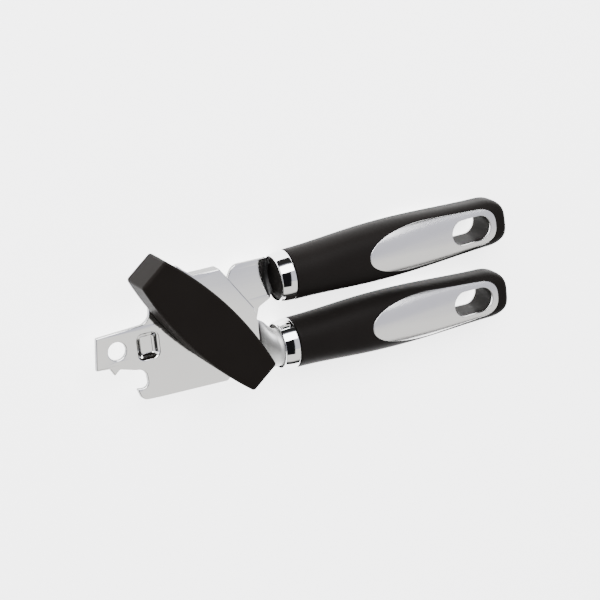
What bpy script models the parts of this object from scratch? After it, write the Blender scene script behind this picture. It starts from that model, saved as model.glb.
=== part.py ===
"""Manual can opener, lying on its back with the turning knob up.

Frame: +X runs along the handles to their hang ends, +Y from the lower handle to
the upper one, +Z out of the plates to the knob. The origin is at the foot of the
drive spindle, on the surface that the opener lies on. Sizes below are in
millimetres and become metres where a mesh is made.
"""
import bpy
import bmesh
from math import asin, atan2, cos, hypot, pi, radians, sin, sqrt
from mathutils import Matrix, Vector
from mathutils.geometry import tessellate_polygon

MM = 0.001
GAP = 0.3                 # clearance between pieces that touch
ROUND = 28                # points round a turned piece

# Heights of the sheet metal and of what turns between the plates
PLATE_T = 2.0
FRONT_Z = 11.9            # underside of the front plate
REAR_Z = 6.9              # underside of the rear plate
GEAR_Z = (9.2, 11.6)
FEED_Z = (2.9, 6.6)
CUTTER_Z = (1.1, 2.6)
KNOB_Z = (16.0, 35.5)

# Mechanism, seen from the front
SPINDLE_R = 3.5
CUTTER_AXIS = (0.0, -18.0)
CUTTER_SHAFT_R = 2.5
PIVOT = (19.0, -13.0)
RIVET_R = 3.0
RIVET_HEAD_R = 5.0
TEETH = 12
PITCH_R = 9.0
ADDENDUM = 1.3
DEDENDUM = 1.8
FEED_R = 7.5
FEED_TEETH = 20
CUTTER_R = 11.1

# Knob: a bar with bulged sides
KNOB_HALF_LENGTH = 38.8
KNOB_HALF_END = 8.0
KNOB_HALF_MIDDLE = 12.8
KNOB_TURN = -51.5         # degrees from +X
KNOB_CORNER = 1.2
KNOB_EDGE = 1.1

# Handles: mouth of each ferrule, tilt in degrees, and lengths along the handle
HANDLE_Z = 11.8
LOWER_MOUTH = (41.3, -25.1)
UPPER_MOUTH = (43.2, 8.0)
UPPER_TILT = 1.6
FERRULE_L = 7.5
HANDLE_L = 124.8
FERRULE_MOUTH_A = 11.5
FERRULE_BACK_A = 12.3
FERRULE_BORE = 10.6
FLATTEN = 0.94            # depth of the round end against its height
NECK_A = 10.2
SLOT_S = (92.6, 113.8)
SLOT_HALF = 6.1
INLAY_S = (46.0, 117.3)
INLAY_WIDEST_S = 78.0
INLAY_HALF = 11.3
INLAY_TAPER = 0.07
INLAY_T = 1.3
TANG_R = 8.5              # mid-wall radius of the half-round tang
TANG_END_S = 22.0
LOWER_START = (-9.2, 12.5, 3.05)   # s, half width and y of the tang's first row
UPPER_START = (-4.0, 9.9, -0.1)
LOWER_FULL_S = -1.0
UPPER_FULL_S = 0.4
UPPER_BOW = 2.4
TANG_ROWS = 6             # rows from the plate's flat to the full channel
TANG_ACROSS = 5           # points on each side of the channel's middle
LEAST_RISE = 1e-4         # of the half-width, so that a flat row still has a radius
GROOVE_SPREAD = 0.05      # how much further round the groove reaches than the tang
GROOVE_START_S = -1.5
GUIDE_OVERSHOOT = 4.0     # how far a cutting guide stands proud of the face
SLOT_INSET = 3.0          # how far a seat guide reaches into the hang slot
STRAIGHT = radians(88.2)  # half angle above which a corner is left as a point

# Front plate
TAB_HOLE = (-38.4, -7.9)
TAB_HOLE_R = 4.25
POCKET_CENTRE = (-23.2, -8.9)
POCKET_SIZE = (11.6, 13.8)
POCKET_DEPTH = 2.6
POCKET_FLARE = 0.5        # how much wider the pocket is on the plate's back
FLANGE_X = (3.0, 16.0)
FLANGE_DEPTH = 6.6

BLACK = (0.018, 0.016, 0.015, 1.0)
STEEL = (0.62, 0.62, 0.61, 1.0)
SILVER = (0.60, 0.59, 0.58, 1.0)
BRASS = (0.55, 0.42, 0.20, 1.0)


# ---------- materials and meshes ----------
def material(name, colour, roughness, metallic):
    made = bpy.data.materials.new(name)
    made.use_nodes = True
    shader = made.node_tree.nodes["Principled BSDF"]
    shader.inputs["Base Color"].default_value = colour
    shader.inputs["Roughness"].default_value = roughness
    shader.inputs["Metallic"].default_value = metallic
    return made


def add_object(name, bm, finish=None, matrix=None, angle=35):
    """Weld, turn the faces outwards and link the mesh as an object in metres."""
    bmesh.ops.remove_doubles(bm, verts=bm.verts, dist=1e-4)
    bmesh.ops.recalc_face_normals(bm, faces=bm.faces)
    bmesh.ops.scale(bm, verts=bm.verts, vec=(MM, MM, MM))
    mesh = bpy.data.meshes.new(name)
    bm.to_mesh(mesh)
    bm.free()
    mesh.shade_smooth()
    mesh.set_sharp_from_angle(angle=radians(angle))
    made = bpy.data.objects.new(name, mesh)
    bpy.context.collection.objects.link(made)
    if finish:
        made.data.materials.append(finish)
    if matrix is not None:
        made.matrix_world = matrix
    return made


def cut(target, cutter):
    """Cut one object away from another and leave the cutter as a guide."""
    cutter.hide_render = True
    cutter.display_type = 'WIRE'
    modifier = target.modifiers.new("cut_" + cutter.name, 'BOOLEAN')
    modifier.operation = 'DIFFERENCE'
    modifier.object = cutter


def arc(centre, radius, start, end, count):
    """Points on an arc, angles in degrees."""
    steps = [radians(start + (end - start) * i / (count - 1)) for i in range(count)]
    return [(centre[0] + radius * cos(a), centre[1] + radius * sin(a)) for a in steps]


def circle(centre, radius, count=24):
    return arc(centre, radius, 0, 360 - 360 / count, count)


def rounded(corners, count=5):
    """Outline from (x, y, radius) corners, with each corner rounded off."""
    outline = []
    for i, (x, y, radius) in enumerate(corners):
        here = Vector((x, y))
        before = (Vector(corners[i - 1][:2]) - here).normalized()
        after = (Vector(corners[(i + 1) % len(corners)][:2]) - here).normalized()
        half = before.angle(after) / 2
        if radius <= 0 or half > STRAIGHT:
            outline.append((x, y))
            continue
        reach = radius / sin(half)
        middle = here + (before + after).normalized() * reach
        first = here + before * (radius / abs(sin(half) / cos(half)))
        last = here + after * (radius / abs(sin(half) / cos(half)))
        a0 = atan2(first.y - middle.y, first.x - middle.x)
        a1 = atan2(last.y - middle.y, last.x - middle.x)
        turn = (a1 - a0 + pi) % (2 * pi) - pi
        for k in range(count):
            a = a0 + turn * k / (count - 1)
            outline.append((middle.x + radius * cos(a), middle.y + radius * sin(a)))
    return outline


def flat_face(bm, loops, z):
    """A face with holes at one height: loops[0] outside, the rest are holes."""
    rows = [[Vector((x, y, z)) for x, y in loop] for loop in loops]
    points = [bm.verts.new(p) for row in rows for p in row]
    for corner in tessellate_polygon(rows):
        bm.faces.new([points[i] for i in corner])


def strip(bm, rows, closed=True):
    """Quads between neighbouring rows of 3-D points."""
    made = [[bm.verts.new(p) for p in row] for row in rows]
    count = len(rows[0])
    for low, high in zip(made, made[1:]):
        for i in range(count if closed else count - 1):
            j = (i + 1) % count
            bm.faces.new((low[i], low[j], high[j], high[i]))


def at_height(loop, z):
    return [(x, y, z) for x, y in loop]


def slab(name, loops, low, high, finish):
    """A flat piece with through holes."""
    bm = bmesh.new()
    for z in (low, high):
        flat_face(bm, loops, z)
    for loop in loops:
        strip(bm, [at_height(loop, low), at_height(loop, high)])
    return add_object(name, bm, finish)


def turned(name, profile, finish, centre=(0, 0), count=ROUND):
    """A turned piece from (radius, z) points, ends on the axis where radius is 0."""
    bm = bmesh.new()
    rows = [at_height(circle(centre, r, count), z) for r, z in profile if r > 0]
    hollow = all(r > 0 for r, z in profile)
    strip(bm, rows + rows[:1] if hollow else rows)
    if not hollow:
        for row in (rows[0], rows[-1]):
            bm.faces.new([bm.verts.new(p) for p in row])
    return add_object(name, bm, finish)


def ring(name, bore, outer, low, high, finish, centre=(0, 0), chamfer=0.2):
    """A washer, bush or spacer with its outer corners broken."""
    profile = [(bore, low), (outer - chamfer, low), (outer, low + chamfer),
               (outer, high - chamfer), (outer - chamfer, high), (bore, high)]
    return turned(name, profile, finish, centre)


def gear_outline(teeth, root, tip, root_share, tip_share, centre=(0, 0), phase=0.0):
    """Straight-flanked teeth; shares are the tooth's part of a pitch at root and tip."""
    points = []
    pitch = 2 * pi / teeth
    for i in range(teeth):
        middle = radians(phase) + i * pitch
        for radius, share in ((root, -root_share), (tip, -tip_share), (tip, tip_share),
                              (root, root_share)):
            a = middle + share * pitch / 2
            points.append((centre[0] + radius * cos(a), centre[1] + radius * sin(a)))
    return points


# ---------- handles ----------
def smooth(t):
    t = max(0.0, min(1.0, t))
    return t * t * (3 - 2 * t)


def place(mouth, tilt):
    """Matrix of a handle's own frame: s along it, y across, z up, at the mouth."""
    move = Matrix.Translation(Vector((mouth[0], mouth[1], HANDLE_Z)) * MM)
    return move @ Matrix.Rotation(radians(tilt), 4, 'Z')


def between(s, keys):
    """Smooth value at s through (s, value) keys."""
    for (s0, v0), (s1, v1) in zip(keys, keys[1:]):
        if s <= s1:
            return v0 + (v1 - v0) * smooth((s - s0) / (s1 - s0))
    return keys[-1][1]


def half_height(s):
    side = between(s, [(7.8, 12.3), (58, 14.1), (118, 11.7)])
    ratio = max(0.0, (s - (HANDLE_L - 12)) / 12)
    return side * max(0.0, 1 - ratio ** 2.5) ** (1 / 2.5)


def half_depth(s):
    side = between(s, [(7.8, 11.5), (45, 11.8), (112, 9.0)])
    ratio = max(0.0, (s - (HANDLE_L - 4)) / 4)
    return side * max(0.0, 1 - ratio ** 2.2) ** (1 / 2.2)


def squareness(s):
    return between(s, [(7.8, 2.0), (50, 2.35), (105, 3.4)])


def section(s, height, depth, power, count=ROUND):
    """A superellipse round the handle's axis."""
    points = []
    for i in range(count):
        a = 2 * pi * i / count
        y = height * abs(cos(a)) ** (2 / power) * (1 if cos(a) >= 0 else -1)
        z = depth * abs(sin(a)) ** (2 / power) * (1 if sin(a) >= 0 else -1)
        points.append((s, y, z))
    return points


def surface_z(s, y):
    """Height of the grip's front face above its axis."""
    ratio = min(0.999, abs(y) / half_height(s))
    power = squareness(s)
    return half_depth(s) * (1 - ratio ** power) ** (1 / power)


def inlay_half(s, grow):
    """Half-width of the inlay's outline at s."""
    tip = INLAY_S[0] - grow
    end = INLAY_S[1] + grow
    if s < INLAY_WIDEST_S:
        ratio = min(1.0, (INLAY_WIDEST_S - s) / (INLAY_WIDEST_S - tip))
        return (INLAY_HALF + grow) * (1 - ratio ** 2.2) ** (1 / 2.2)
    ratio = min(1.0, max(0.0, (s - (end - 9)) / 9))
    side = INLAY_HALF + grow - INLAY_TAPER * (s - INLAY_WIDEST_S)
    return side * (1 - ratio ** 2.6) ** (1 / 2.6)


def inlay_loop(grow, count=14):
    """Outline of the inlay from its tip along the upper side and back."""
    tip = INLAY_S[0] - grow
    end = INLAY_S[1] + grow
    stations = [tip + (end - tip) * (1 - cos(pi * i / count)) / 2 for i in range(count + 1)]
    upper = [(s, inlay_half(s, grow)) for s in stations]
    lower = [(s, -w) for s, w in upper[-2:0:-1]]
    return upper + lower


def slot_loop(grow, like):
    """The hang slot, with a point for each point of another loop."""
    half = SLOT_HALF + grow
    left = SLOT_S[0] + SLOT_HALF
    right = SLOT_S[1] - SLOT_HALF
    middle = (left + right) / 2
    straight = (right - left) / 2
    points = []
    quarter = pi * half / 2
    total = 4 * (quarter + straight)
    for i in range(len(like)):
        d = total * i / len(like)
        side = 1 if d < total / 2 else -1
        d = d if side > 0 else total - d
        if d < quarter:
            a = pi - d / half
            point = (left + half * cos(a), half * sin(a))
        elif d < quarter + 2 * straight:
            point = (left + d - quarter, half)
        else:
            a = pi / 2 - (d - quarter - 2 * straight) / half
            point = (right + half * cos(a), half * sin(a))
        points.append((point[0], side * point[1]))
    return points


def draped(name, grow, drop_top, drop_low, side, matrix, finish=None, rings=3):
    """A plate that follows the grip's face between the inlay outline and the slot."""
    outer = inlay_loop(grow)
    inner = slot_loop(GAP / 2 if finish else -SLOT_INSET, outer)
    bm = bmesh.new()

    def row(t, drop):
        points = []
        for (s0, y0), (s1, y1) in zip(outer, inner):
            s = s0 + (s1 - s0) * t
            y = y0 + (y1 - y0) * t
            points.append((s, y, side * (surface_z(s, y) - drop)))
        return points

    top = [row(i / rings, drop_top) for i in range(rings + 1)]
    low = [row(i / rings, drop_low) for i in range(rings, -1, -1)]
    if finish:
        strip(bm, top + low + top[:1])
    else:
        strip(bm, low + top)
        for loop in (top[-1], low[0]):
            bm.faces.new([bm.verts.new(p) for p in loop])
    return add_object(name, bm, finish, matrix)


def tang_rows(mouth, tilt, start, full_s, plate_mid, extra=0.0, sign=1, bow=0.0):
    """Rows of the tang, flat at the plate and half round at the ferrule.

    start is (s, half width, y) of the first row. bow moves the ends of that row
    towards the ferrule and lets the channel drop at once. Returns the outer and
    inner rows in the opener's frame, from the plate outwards.
    """
    start_s, start_half, start_y = start
    lift = sign * (plate_mid - HANDLE_Z)
    full_half = sqrt(TANG_R ** 2 - lift ** 2)
    full_rise = TANG_R - lift
    matrix = Matrix.Rotation(radians(tilt), 2)
    stations = [start_s + (full_s - start_s) * i / TANG_ROWS for i in range(TANG_ROWS + 1)]
    outers, inners = [], []
    for s in stations + [8.0, TANG_END_S + extra]:
        way = min(1.0, (s - start_s) / (full_s - start_s))
        t = 1 - (1 - way) ** 3 if bow else smooth(way)
        half = start_half + (full_half - start_half) * smooth(way)
        middle = start_y * (1 - smooth(way))
        rise = max(full_rise * t, half * LEAST_RISE)
        radius = (half ** 2 + rise ** 2) / (2 * rise)
        spread = asin(min(1.0, half / radius))
        if rise > half:
            spread = pi - spread
        if way > 0.5:
            spread *= 1 + extra * GROOVE_SPREAD
        outer, inner = [], []
        for i in range(-TANG_ACROSS, TANG_ACROSS + 1):
            share = i / TANG_ACROSS
            a = spread * share
            for points, wall in ((outer, PLATE_T / 2 + extra), (inner, -PLATE_T / 2 - extra)):
                y = middle + (radius + wall) * sin(a)
                z = (radius + wall) * cos(a) - (radius - rise)
                spot = matrix @ Vector((s + bow * (1 - way) * share ** 2, y))
                points.append((mouth[0] + spot.x, mouth[1] + spot.y, plate_mid + sign * z))
        outers.append(outer)
        inners.append(inner)
    return outers, inners


def band(bm, outers, inners, closed_start):
    """Walls of the tang from its rows, with the far end closed."""
    strip(bm, outers, closed=False)
    strip(bm, inners, closed=False)
    for k in (0, -1):
        strip(bm, [[row[k] for row in outers], [row[k] for row in inners]], closed=False)
    strip(bm, [outers[-1], inners[-1]], closed=False)
    if closed_start:
        strip(bm, [outers[0], inners[0]], closed=False)


def build_plate(name, corners, through, z, tang, finish, pocket=None):
    """Stamped plate with its tang, as one sheet.

    corners run round the plate from the tang's upper side to its lower side. tang
    gives its top and bottom rows, and the first of them closes the outline.
    """
    tops, bottoms = tang
    bm = bmesh.new()
    first, last = tops[0][-1], tops[0][0]
    outline = rounded([(first[0], first[1], 0)] + corners + [(last[0], last[1], 0)])[1:-1]
    for height, row, grow in ((z + PLATE_T, tops[0], 0), (z, bottoms[0], POCKET_FLARE)):
        holes = list(through)
        if pocket:
            holes.append(pocket(grow))
        flat_face(bm, [outline + [(p[0], p[1]) for p in row]] + holes, height)
    high = [tops[0][-1]] + at_height(outline, z + PLATE_T) + [tops[0][0]]
    low = [bottoms[0][-1]] + at_height(outline, z) + [bottoms[0][0]]
    strip(bm, [high, low], closed=False)
    for loop in through:
        strip(bm, [at_height(loop, z), at_height(loop, z + PLATE_T)])
    if pocket:
        for base, grow in ((z + PLATE_T, 0), (z, POCKET_FLARE)):
            rows = [at_height(pocket(grow - inset), base - drop)
                    for inset, drop in ((0, 0), (0.25, 0.8), (0.6, POCKET_DEPTH - 0.6),
                                        (1.2, POCKET_DEPTH))]
            strip(bm, rows)
            bm.faces.new([bm.verts.new(p) for p in rows[-1]])
    band(bm, tops, bottoms, False)
    return add_object(name, bm, finish)


def level(rows, z):
    """Put the first row of a tang exactly on a plate face."""
    return [[(p[0], p[1], z) for p in rows[0]]] + rows[1:]


def pocket_loop(grow):
    half_x = POCKET_SIZE[0] / 2 + grow
    half_y = POCKET_SIZE[1] / 2 + grow
    x, y = POCKET_CENTRE
    radius = 2.0 + grow
    return rounded([(x - half_x, y - half_y, radius), (x + half_x, y - half_y, radius),
                    (x + half_x, y + half_y, radius), (x - half_x, y + half_y, radius)], 4)


def front_plate(finish):
    """Tab with hole and tooth, bottle opener, guide pocket, stop flange and tang."""
    outers, inners = tang_rows(LOWER_MOUTH, 0, LOWER_START, LOWER_FULL_S,
                               FRONT_Z + PLATE_T / 2)
    tang = level(outers, FRONT_Z + PLATE_T), level(inners, FRONT_Z)
    corners = [
        (32.0, -8.2, 1), (31.6, -3.6, 3), (20.9, 12.1, 8),
        (16.2, 19.2, 1.4), (2.8, 19.2, 0), (-1.6, 22.6, 1.5), (-4.6, 25.6, 1.5),
        (-12.0, 23.5, 5), (-20.5, 12.0, 5), (-21.6, 1.9, 5.5), (-47.8, 0.4, 0.8),
        (-49.6, -15.1, 0.8), (-43.0, -15.6, 0.4), (-40.9, -19.3, 0.5), (-38.0, -16.9, 0.8),
        (-31.0, -18.9, 2), (-25.9, -19.8, 4), (-25.3, -28.7, 2.6), (-31.2, -28.0, 0.4),
        (-29.3, -34.3, 4.5), (-20.0, -34.7, 3), (14.4, -35.3, 2.2), (17.5, -31.0, 3),
        (26.0, -33.0, 3)]
    through = [circle(TAB_HOLE, TAB_HOLE_R, 28), circle((0, 0), 5.8), circle(PIVOT, RIVET_R + GAP)]
    return build_plate("front_plate", corners, through, FRONT_Z, tang, finish, pocket_loop)


def stop_flange(plate):
    """The plate's top edge turned back as a stop, one sheet with the plate."""
    bm = bmesh.new()
    top = FRONT_Z + PLATE_T
    bend = 1.6
    outside = 19.2
    profile = [(outside - 3.0, top - 0.05)]
    profile += [(y, z) for y, z in arc((outside - bend, top - bend), bend, 87, 0, 5)]
    profile += [(outside, top - FLANGE_DEPTH), (outside - PLATE_T, top - FLANGE_DEPTH)]
    profile += [(outside - PLATE_T, FRONT_Z + 0.05), (outside - 3.0, FRONT_Z + 0.05)]
    rows = [[(x, y, z) for y, z in profile] for x in FLANGE_X]
    strip(bm, rows)
    for row in rows:
        bm.faces.new([bm.verts.new(p) for p in row])
    guide = add_object("flange_guide", bm)
    guide.hide_render = True
    guide.display_type = 'WIRE'
    join = plate.modifiers.new("join_flange", 'BOOLEAN')
    join.operation = 'UNION'
    join.object = guide


def rear_plate(finish):
    """Carries the cutting wheel below the spindle and the upper handle's tang."""
    outers, inners = tang_rows(UPPER_MOUTH, UPPER_TILT, UPPER_START, UPPER_FULL_S,
                               REAR_Z + PLATE_T / 2, sign=-1, bow=UPPER_BOW)
    tang = level(inners, REAR_Z + PLATE_T), level(outers, REAR_Z)
    corners = [
        (24.5, 17.9, 5), (19.8, 9.5, 6), (14.5, -3.0, 8), (6.0, -9.5, 3), (-4.5, -10.0, 5),
        (-8.0, -19.0, 5), (-3.5, -26.0, 6), (14.0, -22.5, 5), (29.0, -20.5, 7),
        (34.0, -12.0, 5), (36.0, -5.0, 3)]
    through = [circle(CUTTER_AXIS, 4.5), circle(PIVOT, RIVET_R + GAP)]
    return build_plate("rear_plate", corners, through, REAR_Z, tang, finish)


def ferrule(name, matrix, finish):
    """Chrome ring over the neck of a grip."""
    edge = 0.35
    profile = [(0, FERRULE_BORE), (0, FERRULE_MOUTH_A - edge), (edge, FERRULE_MOUTH_A),
               (FERRULE_L - edge, FERRULE_BACK_A), (FERRULE_L, FERRULE_BACK_A - edge),
               (FERRULE_L, FERRULE_BORE)]
    rows = [section(s, a, a * FLATTEN, 2, 36) for s, a in profile]
    bm = bmesh.new()
    strip(bm, rows + rows[:1])
    return add_object(name, bm, finish, matrix)


def grip(name, matrix, finish, tang):
    """Moulded grip with a neck, tang groove, inlay seats and a hang slot."""
    stations = [FERRULE_L + GAP, 12, 20, 32, 45, 58, 71, 84, 97, 108]
    stations += [HANDLE_L - 12 + 12 * t for t in (0.1, 0.45, 0.68, 0.82, 0.92, 0.98)]
    rows = [section(s, NECK_A, NECK_A * FLATTEN, 2) for s in (0.8, FERRULE_L + GAP)]
    rows += [section(s, half_height(s), half_depth(s), squareness(s)) for s in stations]
    bm = bmesh.new()
    strip(bm, rows)
    for row in (rows[0], rows[-1]):
        bm.faces.new([bm.verts.new(p) for p in row])
    made = add_object(name, bm, finish, matrix)

    bm = bmesh.new()
    band(bm, *tang, True)
    cut(made, add_object(name + "_tang_guide", bm))
    for face in (1, -1):
        seat = draped(f"{name}_seat_guide_{face}", GAP, -GUIDE_OVERSHOOT, INLAY_T + GAP, face,
                      matrix)
        cut(made, seat)
    bm = bmesh.new()
    loop = slot_loop(0, inlay_loop(0, 12))
    rows = [at_height(loop, z) for z in (-20, 20)]
    strip(bm, rows)
    for row in rows:
        bm.faces.new([bm.verts.new(p) for p in row])
    cut(made, add_object(name + "_slot_guide", bm, matrix=matrix))
    return made


def knob(finish):
    """Bar knob with bulged sides, blind bore for the spindle in its back."""
    end, middle, half = KNOB_HALF_END, KNOB_HALF_MIDDLE, KNOB_HALF_LENGTH
    side = [(half * (1 - 2 * i / 12), 0) for i in range(13)]
    side = [(x, end + (middle - end) * (1 - (x / half) ** 2)) for x, _ in side]
    loop = side + [(-x, -y) for x, y in side]
    loop = rounded([(x, y, KNOB_CORNER if abs(x) == half else 0) for x, y in loop], 4)
    turn = Matrix.Rotation(radians(KNOB_TURN), 2)
    loop = [tuple(turn @ Vector(p)) for p in loop]
    low, high = KNOB_Z

    def inset(d):
        return [(x * (1 - d / hypot(x, y)), y * (1 - d / hypot(x, y))) for x, y in loop]

    edge = KNOB_EDGE
    rows = [at_height(inset(0.4), low), at_height(loop, low + 0.4), at_height(loop, high - edge)]
    rows += [at_height(inset(edge * (1 - cos(a))), high - edge * (1 - sin(a)))
             for a in (radians(30), radians(60), radians(90))]
    bore = circle((0, 0), SPINDLE_R + GAP)
    bm = bmesh.new()
    strip(bm, rows)
    bm.faces.new([bm.verts.new(p) for p in rows[-1]])
    flat_face(bm, [inset(0.4), bore], low)
    bore_rows = [at_height(bore, low), at_height(bore, 30.3)]
    strip(bm, bore_rows)
    bm.faces.new([bm.verts.new(p) for p in bore_rows[-1]])
    return add_object("knob", bm, finish)


def main():
    for old in list(bpy.data.objects):
        bpy.data.objects.remove(old)
    steel = material("polished_steel", STEEL, 0.12, 1.0)
    hard = material("hardened_steel", STEEL, 0.3, 1.0)
    chrome = material("chrome_plate", STEEL, 0.06, 1.0)
    brass = material("bearing_brass", BRASS, 0.35, 1.0)
    black = material("black_grip", BLACK, 0.45, 0.0)
    silver = material("satin_silver", SILVER, 0.35, 0.6)

    stop_flange(front_plate(steel))
    rear_plate(steel)

    # pivot between the two plates
    high = FRONT_Z + PLATE_T + GAP
    low = REAR_Z - GAP
    turned("pivot_rivet", [
        (0, low - 1.2), (RIVET_HEAD_R - 0.8, low - 1.2), (RIVET_HEAD_R, low - 0.5),
        (RIVET_HEAD_R, low), (RIVET_R, low), (RIVET_R, high), (RIVET_HEAD_R, high),
        (RIVET_HEAD_R, high + 0.5), (RIVET_HEAD_R - 0.8, high + 1.2), (0, high + 1.2)],
        hard, PIVOT)
    ring("pivot_washer", RIVET_R + GAP, 6.0, *GEAR_Z, brass, PIVOT)

    # drive spindle and what turns with it
    turned("drive_spindle", [
        (0, 0), (4.0, 0), (4.4, 0.4), (4.4, FEED_Z[0] - GAP), (SPINDLE_R, FEED_Z[0] - GAP),
        (SPINDLE_R, 29.4), (SPINDLE_R - 0.6, 30.0), (0, 30.0)], hard)
    bore = circle((0, 0), SPINDLE_R + GAP)
    feed = gear_outline(FEED_TEETH, FEED_R - 0.7, FEED_R, 0.85, 0.25)
    slab("feed_wheel", [feed, bore], *FEED_Z, hard)
    ring("feed_spacer", SPINDLE_R + GAP, 5.2, FEED_Z[1] + GAP, GEAR_Z[0] - GAP, hard)
    root, tip = PITCH_R - DEDENDUM, PITCH_R + ADDENDUM
    slab("drive_gear", [gear_outline(TEETH, root, tip, 0.66, 0.26), bore], *GEAR_Z, hard)
    turned("spindle_bush", [
        (SPINDLE_R + GAP, FRONT_Z), (5.5, FRONT_Z), (5.5, high), (8.0, high), (8.3, high + 0.3),
        (8.3, high + 0.7), (8.0, high + 1.0), (SPINDLE_R + GAP, high + 1.0)], brass)
    knob(black)

    # cutting wheel on the rear plate's arm
    x, y = CUTTER_AXIS
    top = GEAR_Z[1]
    turned("cutter_shaft", [
        (0, 0), (5.0, 0), (5.4, 0.4), (5.4, CUTTER_Z[0] - GAP), (CUTTER_SHAFT_R, CUTTER_Z[0] - GAP),
        (CUTTER_SHAFT_R, top - 0.3), (CUTTER_SHAFT_R - 0.3, top), (0, top)], hard, CUTTER_AXIS)
    turned("cutting_wheel", [
        (CUTTER_SHAFT_R + GAP, CUTTER_Z[0]), (CUTTER_R - 2.4, CUTTER_Z[0]),
        (CUTTER_R, CUTTER_Z[1] - 0.25), (CUTTER_R, CUTTER_Z[1]),
        (CUTTER_SHAFT_R + GAP, CUTTER_Z[1])], hard, CUTTER_AXIS, 40)
    ring("cutter_spacer", CUTTER_SHAFT_R + GAP, 5.0, CUTTER_Z[1] + GAP, low, hard, CUTTER_AXIS)
    ring("cutter_bush", CUTTER_SHAFT_R + GAP, 4.2, REAR_Z, REAR_Z + PLATE_T, brass,
         CUTTER_AXIS)
    half_tooth = 180 / TEETH
    outline = gear_outline(TEETH, root, tip, 0.66, 0.26, (x, y), half_tooth)
    slab("cutter_gear", [outline, circle((x, y), CUTTER_SHAFT_R + GAP)], *GEAR_Z, hard)

    # handles
    for side, mouth, tilt, mid, sign in (
            ("lower", LOWER_MOUTH, 0, FRONT_Z + PLATE_T / 2, 1),
            ("upper", UPPER_MOUTH, UPPER_TILT, REAR_Z + PLATE_T / 2, -1)):
        matrix = place(mouth, tilt)
        ferrule(side + "_ferrule", matrix, chrome)
        groove = tang_rows(mouth, tilt, (GROOVE_START_S, TANG_R, 0), -1.0, mid, GAP, sign)
        grip(side + "_grip", matrix, black, groove)
        for face, facing in ((1, "front"), (-1, "back")):
            draped(f"{side}_inlay_{facing}", 0, 0, INLAY_T, face, matrix, silver)


main()
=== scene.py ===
# %% [markdown]
# # A manual can opener
# The real object has two steel plates that turn on a rivet. One ends in a handle and
# carries the knob and its wheel; the other ends in a handle and carries the cutter.
# The packed model gives them as a fixed frame: bodies, joints and plain solids. Each
# step below makes one visible piece or finish and lets it ride on its body.
# The frame's own box is kept first.

# %% Load the frame
from math import asin, atan2, cos, hypot, pi, radians, sin, sqrt

import bmesh
import bpy
from mathutils import Matrix, Vector
from mathutils.geometry import tessellate_polygon


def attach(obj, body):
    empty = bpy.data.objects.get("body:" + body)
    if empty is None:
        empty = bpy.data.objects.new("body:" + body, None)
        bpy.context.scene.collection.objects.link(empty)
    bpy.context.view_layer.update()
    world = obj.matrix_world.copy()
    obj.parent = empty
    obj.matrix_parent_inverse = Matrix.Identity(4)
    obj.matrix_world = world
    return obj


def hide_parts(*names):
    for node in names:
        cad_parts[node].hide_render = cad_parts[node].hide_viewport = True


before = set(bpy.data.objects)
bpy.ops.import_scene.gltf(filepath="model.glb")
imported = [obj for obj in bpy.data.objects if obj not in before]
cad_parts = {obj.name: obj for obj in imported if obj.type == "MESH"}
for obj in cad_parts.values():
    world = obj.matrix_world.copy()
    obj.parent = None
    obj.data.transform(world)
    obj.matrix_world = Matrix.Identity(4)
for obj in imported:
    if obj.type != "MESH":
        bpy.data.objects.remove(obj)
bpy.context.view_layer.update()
MM = 0.001

# %% [markdown]
# ## Shader maths
# A finish is easier to read as a formula than as a net of nodes. One class wraps a
# node's output and adds a Math node for each operator. Every other node comes from
# one method, which takes the node's type, its settings and what its sockets get.


# %% A socket that can be calculated with
class Value:
    """An output socket; arithmetic on it adds Math nodes."""

    def __init__(self, finish, socket):
        self.finish = finish
        self.socket = socket

    def math(self, operation, first, second):
        return self.finish.node("ShaderNodeMath", {"operation": operation}, {0: first, 1: second})

    def __add__(self, other):
        return self.math("ADD", self, other)

    def __sub__(self, other):
        return self.math("SUBTRACT", self, other)

    def __mul__(self, other):
        return self.math("MULTIPLY", self, other)

    __radd__ = __add__
    __rmul__ = __mul__


print("operators:", [name for name in vars(Value) if name in ("__add__", "__sub__", "__mul__")])


# %% A node tree that is easy to add to
class Nodes:
    """A node tree with short ways to add to it."""

    def __init__(self, tree):
        self.tree = tree

    def node(self, kind, settings=None, sockets=None, output=0):
        made = self.tree.nodes.new(kind)
        for key, value in (settings or {}).items():
            setattr(made, key, value)
        for key, value in (sockets or {}).items():
            if isinstance(value, Value):
                self.tree.links.new(value.socket, made.inputs[key])
            else:
                made.inputs[key].default_value = value
        return Value(self, made.outputs[output])

    def noise(self, where, scale, detail=3.0, roughness=0.5):
        return self.node("ShaderNodeTexNoise", None,
                         {"Vector": where, "Scale": scale, "Detail": detail,
                          "Roughness": roughness})

    def mix(self, factor, first, second):
        """Colour between first and second."""
        return self.node("ShaderNodeMix", {"data_type": "RGBA"},
                         {"Factor": factor, 6: first, 7: second}, output=2)

    def rise(self, value, low, high):
        """Smooth step from 0 at low to 1 at high."""
        return self.node("ShaderNodeMapRange", {"interpolation_type": "SMOOTHSTEP"},
                         {"Value": value, "From Min": low, "From Max": high})

    def axes(self, vector):
        made = self.node("ShaderNodeSeparateXYZ", None, {0: vector})
        outputs = made.socket.node.outputs
        return [Value(self, outputs[i]) for i in range(3)]


print("tree helpers:", [name for name in vars(Nodes) if not name.startswith("_")])


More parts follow.
